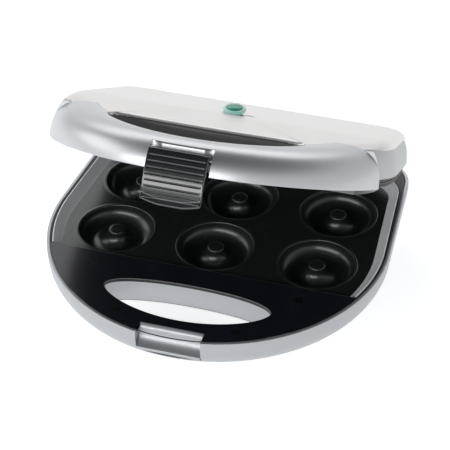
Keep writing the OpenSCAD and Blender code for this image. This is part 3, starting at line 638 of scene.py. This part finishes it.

# ---------------------------------------------------------------- lid top cover
# Flat top behind the handle, moulded in pale ABS with a fine satin grain. Its front edge rolls down into the
# finger opening, its sides round over to the skirt, and a leaf-shaped hollow holds the lamp. The wall of the
# opening below the rolled edge is drawn in a dark grey copy of the silver, a painted shade.

LAMP = np.array([0.0, 10.0])
LEAF_R, LEAF_TIP, LEAF_DEPTH = 8.9, 16.5, 0.7
LAMP_HOLE_R = 7.2
LID_REAR = 104.0
COVER_LOW, COVER_FRONT_Y, SEAM_GAP = 24.1, FRONT_END_Y + 0.2, 0.15
PAINTED_SHADE_BELOW = 6.5
EDGE_STEPS = (0, 0.04, 0.12, 0.25, 0.45, 0.7, 1.0, 1.4, 1.9, 2.4, 3.0, 3.6, 4.5, 5.5, 7, 8.5, 10, 12, 14, 16,
    18, 20, 22, 24, 26, 28, 31)
LEAF_EDGE = ((0.7, 0), (0.25, 0.02), (0.08, 0.12), (0, 0.3), (-0.1, 0.55), (-0.3, LEAF_DEPTH),
    (-0.55, LEAF_DEPTH))


def plan_depth(plan, rear):
    """Inset and front angle of points inside the plan."""
    x, y = np.abs(plan[:, 0]), plan[:, 1]
    a = lean(rear)
    q = np.column_stack([x, y - BOW[1]])
    on_bow = np.arctan2(q[:, 1], q[:, 0]) <= a
    from_bow = q / np.maximum(np.linalg.norm(q, axis=1), 1e-6)[:, None]
    unit = np.where(on_bow[:, None], from_bow, [math.cos(a), math.sin(a)])
    d = BOW_R - (q * unit).sum(1)
    rear_first = rear - y < d
    d = np.where(rear_first, rear - y, d)
    unit = np.where(rear_first[:, None], [0.0, 1.0], unit)
    v = np.column_stack([x - CORNER_X, y - (rear - CORNER_R)])
    reach = np.linalg.norm(v, axis=1)
    direction = np.arctan2(v[:, 1], v[:, 0])
    in_corner = (direction > a) & (direction < math.pi / 2)
    d = np.where(in_corner, CORNER_R - reach, d)
    unit = np.where(in_corner[:, None], v / np.maximum(reach, 1e-6)[:, None], unit)
    edge = np.column_stack([x, y]) + d[:, None] * unit
    return d, np.degrees(np.abs(np.arctan2(edge[:, 0], BOW[1] - edge[:, 1])))


def even(path, step):
    """Points along a path at even steps, without its last."""
    s = np.concatenate([[0], np.cumsum(np.linalg.norm(np.diff(path, axis=0), axis=1))])
    n = max(int(s[-1] / step), 2)
    return np.column_stack([np.interp(np.linspace(0, s[-1], n, endpoint=False), s, c) for c in path.T])


def low_inset(y, a):
    """Inset at which the skin passes the lower edge of the top cover."""
    return top_w(a) * (1 - np.cos(np.arcsin((COVER_LOW / crown(y)) ** (1 / ROUND))) ** ROUND)


side_inset = low_inset(FRONT_END_Y, 72.0)
start_y = BOW[1] - BOW_R * (BOW[1] - COVER_FRONT_Y) / (BOW_R - side_inset)
path = around(0, LID_REAR, start_y, 200)
path_in = around(1, LID_REAR, BOW[1] - (BOW_R - 1) * (BOW[1] - start_y) / BOW_R, 200)
path_a = np.degrees(np.abs(np.arctan2(path[:, 0], BOW[1] - path[:, 1])))
path_y = np.maximum(path[:, 1], FRONT_END_Y)
outer_path = path + low_inset(path_y, path_a)[:, None] * (path_in - path)
seam_r = BOW_R - SEAM - SEAM_GAP
seam_end = math.acos((BOW[1] - COVER_FRONT_Y) / seam_r)
seam_angles = np.linspace(seam_end, math.radians(TIP_ANGLE), 40)
seam_left = np.column_stack([-seam_r * np.sin(seam_angles), BOW[1] - seam_r * np.cos(seam_angles)])
rear_edge = lid_hole[: LID_HOLE_POINTS // 2 + 1][::-1]
segments = [
    (even(outer_path, 0.9), 0.3, "side"),
    (even(np.array([outer_path[-1], seam_left[0]]), 0.9), 0.3, "seam"),
    (even(seam_left, 0.7), 0.3, "seam"),
    (even(rear_edge, 0.7), 3.6, "hole"),
    (even(seam_left[::-1] * [-1, 1], 0.7), 0.3, "seam"),
    (even(np.array([seam_left[0] * [-1, 1], outer_path[0]]), 0.9), 0.3, "seam"),
]
border = np.concatenate([s[0] for s in segments])
edge_r = np.concatenate([np.full(len(s[0]), s[1]) for s in segments])
kind = np.concatenate([np.full(len(s[0]), s[2]) for s in segments])
tips = (np.abs(border[:, 0]) > 55) & (kind == "hole")
edge_r = np.where(tips, 0.3 + 3.3 * np.clip((LID_HOLE_HALF - np.abs(border[:, 0])) / 12, 0, 1) ** 0.7, edge_r)
to_lamp = LAMP - border
length = np.linalg.norm(to_lamp, axis=1)
ray = to_lamp / length[:, None]
facing = np.clip(-(ray * outward(border)).sum(1), 0.4, 1)
theta = np.arctan2(-ray[:, 1], -ray[:, 0])
touch = math.acos(LEAF_R / LEAF_TIP)
leaf = np.where(np.abs(theta) < touch, LEAF_R / np.cos(touch - np.minimum(np.abs(theta), touch)), LEAF_R)

cover_rows = []
for e in EDGE_STEPS:
    plan = border + ray * (e / facing)[:, None]
    d, a = plan_depth(plan, LID_REAR)
    cover_rows.append(at_height(plan, LID_Z + crown(plan[:, 1]) * share(d, a) - roll(e, edge_r)))
reached = EDGE_STEPS[-1] / facing
for s in np.linspace(0, 1, 36)[1:]:
    plan = border + ray * (reached + s * (length - leaf - 1.5 - reached))[:, None]
    cover_rows.append(at_height(plan, LID_Z + crown(plan[:, 1])))
for out, down in LEAF_EDGE:
    plan = LAMP - ray * (leaf + out)[:, None]
    cover_rows.append(at_height(plan, LID_Z + LID_H - down))
cover_rows.append(at_height(LAMP - ray * LAMP_HOLE_R, LID_Z + LID_H - LEAF_DEPTH))
edge_row = cover_rows[0]
skirts = []
for s in (1, 0.6, 0.25, 0.05):
    fall = np.where(kind == "hole", edge_row[:, 2] - LID_Z - UNDERSIDE, np.where(kind == "seam", 1.6, 0.5))
    tuck = np.where(kind == "side", 1.2, 0)
    skirts.append(edge_row + np.column_stack([ray * (s * tuck)[:, None], -s * fall]))
cover = piece("lid_top_cover_skin", [grid(np.stack(skirts + cover_rows), True)], "pale_silver", "lid",
    ["lid_top_cover"], open_lid)
# The wall of the finger opening below the rolled edge takes the dark grey hole_wall finish: painted shade on
# the same silver.
cover.data.materials.append(FINISHES["hole_wall"])
shut = turn(np.array([v.co for v in cover.data.vertices]) / MM, HINGE_Y, HINGE_Z, LID_OPEN)
for face in cover.data.polygons:
    x, y, z = shut[list(face.vertices)].mean(0)
    if z < LID_Z + LID_H - PAINTED_SHADE_BELOW and abs(x) < 68 and y < -40:
        face.material_index = 1

# ---------------------------------------------------------------- lid side skirt
# Wall round the sides and the rear of the lid, moulded in grey ABS, set a little inside the front shell.
# It ends above the rim, so that the grooved edge of the black carrier shows below it.

END_DEPTH = 9.0
skirt_section = smooth([(3.7, 8.5), (3.68, 6.3), (3.4, 6.02), (2.5, 6.0), (1.75, 6.02), (1.5, 6.3),
    (1.55, 9.0), (1.9, 12), (2.45, 15.2), (3.2, 18), (4.4, 21), (6.0, 23.6), (6.6, 23.85), (9.0, 23.85),
    (13.5, 23.85)], 60)
skirt_rows = np.stack([at_height(around(d, LID_REAR, COVER_FRONT_Y, 120), LID_Z + t)
    for d, t in skirt_section])
outer_ends = (skirt_rows[:, 0], skirt_rows[:, -1])
ends = [grid(np.stack([row, row - np.sign(row[:, :1]) * [END_DEPTH, 0, 0]])) for row in outer_ends]
piece("lid_side_skirt_skin", [grid(skirt_rows), *ends], "silver_skirt", "lid", ["lid_side_skirt"], open_lid)

# ---------------------------------------------------------------- lamp bezel
# Translucent mint ring round the lamp, moulded in acrylic and pressed into the lid. How it sits could not be
# seen. It looks more face-on in the picture than a ring lying flat could, so it is drawn leaning and raised.

LAMP_LEAN, LAMP_UP = math.radians(21), 2.7


def lean_lamp(points):
    """Points of the upright lamp, leant forwards, raised and opened with the lid."""
    return open_lid(turn(points, LAMP[1], LID_Z + LID_H, LAMP_LEAN) + [0, 0, LAMP_UP])


ring_profile = np.array([(2.0, -5.6), (4.0, -3.7), (6.0, -2.0), (7.4, -0.8), (8.0, -0.2), (8.1, 0.3),
    (7.9, 0.9), (7.5, 1.35), (6.9, 1.65), (6.2, 1.75), (5.7, 1.65), (5.45, 1.4), (5.4, 1.0)])
piece("lamp_bezel_skin", [lathe(ring_profile, LAMP, LID_Z + LID_H)], "mint", "lid", ["lamp_bezel"], lean_lamp)

# ---------------------------------------------------------------- lamp lens
# Domed green lens inside the ring, moulded in clear tinted acrylic. It is drawn leaning with
# the ring.

lens_profile = np.array([(5.4, 0.9), (5.3, 1.4), (5.0, 1.8), (4.4, 2.2), (3.5, 2.55), (2.4, 2.8), (1.2, 2.95),
    (0, 3.0)])
piece("lamp_lens_skin", [lathe(lens_profile, LAMP, LID_Z + LID_H)], "green_lens", "lid", ["lamp_lens"],
    lean_lamp)

# ---------------------------------------------------------------- latch
# Tab moulded in glossy black ABS: a face that bulges forwards with eight grip ribs, a lower edge cut to an
# arc and a small hook behind it. It hangs on a steel pin in the lid's recess.

LATCH_Y, LATCH_Z, LATCH_OUT = -114.0, LID_Z + 10, math.radians(6)
LATCH_LOW, LATCH_HIGH = 20.2, LID_Z + 12.8
LATCH_HALF, ARC_R, ARC_SAG = 19.8, 67.0, 66.6
FACE_Y, BULGE = -120.6, 2.6
RIB_Z, RIB_STEP, RIBS = LATCH_LOW + 5, 3.9, 8
RIB_DEPTH, GROOVE, LIP = 0.45, 0.2, 4.2
EDGE_ROUND, SIDE_ROUND, BARREL_R = 0.8, 0.6, 2.8


def hang(points):
    """Points of the hooked latch, swung out on its pin and opened with the lid."""
    return open_lid(turn(points, LATCH_Y, LATCH_Z, -LATCH_OUT))


def latch_section(x, inset):
    """Front and back of the tab at one x, from the bottom up, as [y, z] points. The front is a parabola."""
    low = max(LATCH_LOW + ARC_SAG - math.sqrt(ARC_R * ARC_R - x * x), LATCH_LOW) + inset
    high = LATCH_HIGH - inset
    z = np.concatenate([np.linspace(low + 0.02, low + 0.8, 6), np.linspace(low + 0.9, high - 0.9, 300),
        np.linspace(high - 0.8, high - 0.02, 6)])
    t = (np.maximum(z, low + LIP) - LATCH_LOW) / (LATCH_HIGH - LATCH_LOW)
    front = FACE_Y - BULGE * 4 * t * (1 - t) + inset
    phase = (z - RIB_Z) / RIB_STEP
    on = (phase > -0.5) & (phase < RIBS - 0.5)
    side = ease((LATCH_HALF - 1.2 - abs(x)) / 1.4)
    from_groove = (np.abs(phase - np.round(phase)) - 0.5) / GROOVE
    groove = 0.5 + 0.5 * np.cos(np.pi * np.clip(from_groove, -1, 1))
    front += np.where(on, RIB_DEPTH * side * groove, 0)
    front -= 0.4 * ease((low + LIP - z) / LIP)
    for edge, direction in ((low, 1), (high, -1)):
        front += roll(np.clip((z - edge) * direction, 0, EDGE_ROUND), EDGE_ROUND)
    back = np.interp(z, [LATCH_LOW, 26, 26.2, 27.8, 28, 45, 46.2, 52.2, LATCH_HIGH],
        [-119.3, -119.3, -117.2, -117.2, -119.7, -119.7, -118, -114.6, -114.6]) - inset
    return np.column_stack([front, z]), np.column_stack([back, z])


latch_x = [(LATCH_HALF - SIDE_ROUND + SIDE_ROUND * math.sin(b), SIDE_ROUND * (1 - math.cos(b)))
    for b in np.linspace(0, math.pi / 2, 6)]
latch_x = [(-x, i) for x, i in latch_x[::-1]] + [(x, 0) for x in np.linspace(-19, 19, 66)] + latch_x
latch_rows, latch_ends = [], []
for k, (x, i) in enumerate(latch_x):
    front, back = latch_section(x, i)
    loop = np.concatenate([front, back[::-1]])
    latch_rows.append(np.column_stack([np.full(len(loop), x), loop]))
    if k in (0, len(latch_x) - 1):
        outlines = [np.column_stack([np.full(len(line), x), line]) for line in (front, back)]
        latch_ends.append(grid(np.stack(outlines)))
t = np.linspace(0, 2 * np.pi, 48, endpoint=False)
circle = np.column_stack([0 * t, LATCH_Y + BARREL_R * np.cos(t), LATCH_Z + BARREL_R * np.sin(t)])
barrel = np.stack([circle + [x, 0, 0] for x in (-19.7, -19.4, 19.4, 19.7)])
piece("latch_skin", [grid(np.stack(latch_rows), True), *latch_ends, grid(barrel, True)], "latch_black",
    "latch", ["latch"], hang, 60)

# ---------------------------------------------------------------- floor, light and camera
# A plain pale floor that glows a little like a light table, soft lights in front, behind and at the left, and
# a sky that darkens overhead, so that rounded silver edges show a darker band.

FLOOR_HALF = 6.0
floor_mesh = bpy.data.meshes.new("floor")
floor_corners = [(x * FLOOR_HALF, y * FLOOR_HALF, 0) for x, y in ((-1, -1), (1, -1), (1, 1), (-1, 1))]
floor_mesh.from_pydata(floor_corners, [], [(0, 1, 2, 3)])
floor = bpy.data.objects.new("floor", floor_mesh)
floor_mesh.materials.append(finish("floor", (0.86, 0.86, 0.86), 0.75, 0.0, 30.0, 0.01, 0.0,
    Emission_Color=(1, 1, 1, 1), Emission_Strength=0.6))
bpy.context.scene.collection.objects.link(floor)

world = bpy.data.worlds.new("studio")
bpy.context.scene.world = world
world.use_nodes = True
tree = world.node_tree
tree.nodes.clear()
sky_out = tree.nodes.new("ShaderNodeOutputWorld")
sky = tree.nodes.new("ShaderNodeBackground")
ramp = tree.nodes.new("ShaderNodeValToRGB")
way = tree.nodes.new("ShaderNodeNewGeometry")
split = tree.nodes.new("ShaderNodeSeparateXYZ")
flip = tree.nodes.new("ShaderNodeMath")
flip.operation = "MULTIPLY"
flip.inputs[1].default_value = -1
tree.links.new(way.outputs["Incoming"], split.inputs["Vector"])
tree.links.new(split.outputs["Z"], flip.inputs[0])
tree.links.new(flip.outputs["Value"], ramp.inputs["Fac"])
tree.links.new(ramp.outputs["Color"], sky.inputs["Color"])
tree.links.new(sky.outputs["Background"], sky_out.inputs["Surface"])
sky.inputs["Strength"].default_value = 1.0
levels = ((0.0, 0.62), (0.3, 0.80), (0.52, 0.55), (0.7, 0.20), (1.0, 0.05))
elements = ramp.color_ramp.elements
elements[0].position, elements[0].color = levels[0][0], (levels[0][1],) * 3 + (1,)
elements[1].position, elements[1].color = levels[-1][0], (levels[-1][1],) * 3 + (1,)
for position, value in levels[1:-1]:
    elements.new(position).color = (value, value, value * 1.02, 1)


def soft_light(name, place, aim, across, watts):
    """A rectangular light at a place, turned to face its aim."""
    data = bpy.data.lights.new(name, "AREA")
    data.shape, data.size, data.size_y = "RECTANGLE", across[0], across[1]
    data.energy = watts
    lamp = bpy.data.objects.new(name, data)
    lamp.location = place
    lamp.rotation_mode = "QUATERNION"
    lamp.rotation_quaternion = (Vector(aim) - Vector(place)).to_track_quat("-Z", "Y")
    bpy.context.scene.collection.objects.link(lamp)


soft_light("front", (-0.42, -1.39, 0.78), (0, 0, 0.05), (2.2, 0.36), 12)
soft_light("rear", (-0.48, 1.57, 1.25), (0, 0, 0.05), (2.2, 1.0), 10)
soft_light("side", (-1.6, -0.1, 0.8), (0, 0, 0.05), (1.2, 0.8), 4)

camera = bpy.data.objects.new("camera", bpy.data.cameras.new("camera"))
camera.data.lens, camera.data.sensor_width = 160, 36
camera.data.clip_start, camera.data.clip_end = 0.05, 50
camera.location = (0.3207, -1.0466, 0.884)
aim = Vector((0.00034, 0.0112, 0.039)) - camera.location
camera.rotation_mode = "QUATERNION"
camera.rotation_quaternion = aim.to_track_quat("-Z", "Y") @ Quaternion((0, 0, 1), math.radians(-0.33))
bpy.context.scene.collection.objects.link(camera)
bpy.context.scene.camera = camera

scene = bpy.context.scene
scene.view_settings.view_transform = "Standard"
scene.view_settings.exposure = 0.0
